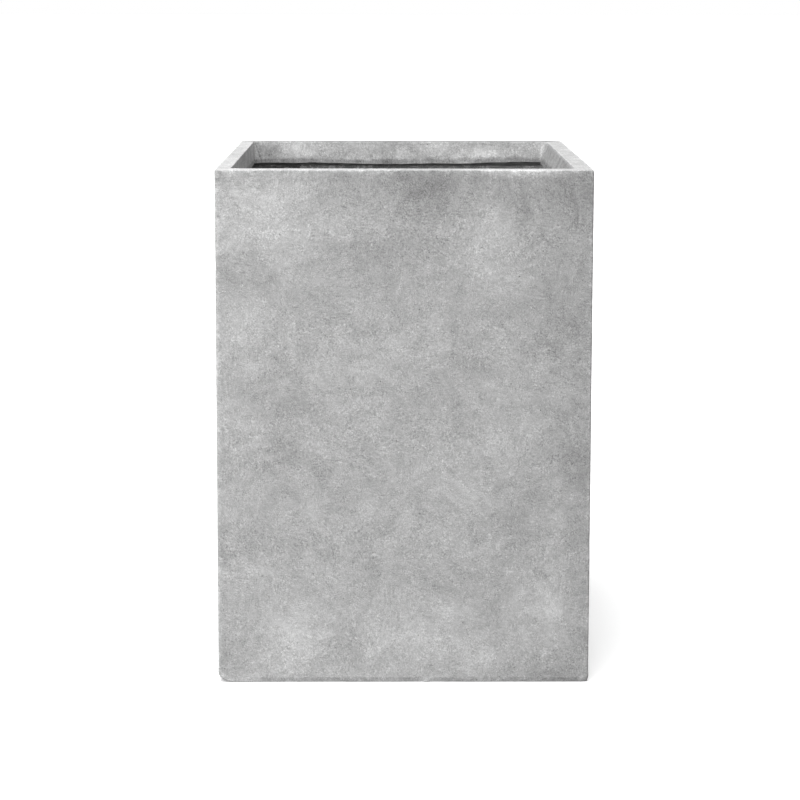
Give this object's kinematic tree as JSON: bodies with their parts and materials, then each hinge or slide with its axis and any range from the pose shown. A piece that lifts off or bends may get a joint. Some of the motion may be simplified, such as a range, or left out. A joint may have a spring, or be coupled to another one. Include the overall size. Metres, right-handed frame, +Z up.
{
  "type": "tall square planter",
  "caption": "Tall square fiberglass planter with a concrete-look face, a flat rim with an inward lip, raw laminate inside and a plugged drain hole in the raised floor.",
  "frame": {"origin": "centre of the foot, at the level of the floor it stands on", "axes": "+Z up along the height, the face in the picture towards -Y, +X to that face's right"},
  "size_m": [0.4498, 0.4498, 0.62],
  "materials": {
    "mineral_coat": "matte",
    "filled_resin": "matte",
    "laminate": "satin",
    "plug_rubber": "satin"
  },
  "bodies": {
    "planter": {"facing_coat": "mineral_coat", "rim_core": "filled_resin", "front_wall": "laminate", "back_wall": "laminate", "left_wall": "laminate", "right_wall": "laminate", "corner_strip_front_left": "laminate", "corner_strip_front_right": "laminate", "corner_strip_back_left": "laminate", "corner_strip_back_right": "laminate", "base_panel": "laminate", "base_cove": "filled_resin"},
    "plug": {"drain_plug": "plug_rubber"}
  },
  "joints": [
    {"name": "plug_lift", "type": "slide", "parent": "planter", "child": "plug", "axis": [0, 0, 1], "range_m": [0, 0.65]}
  ]
}
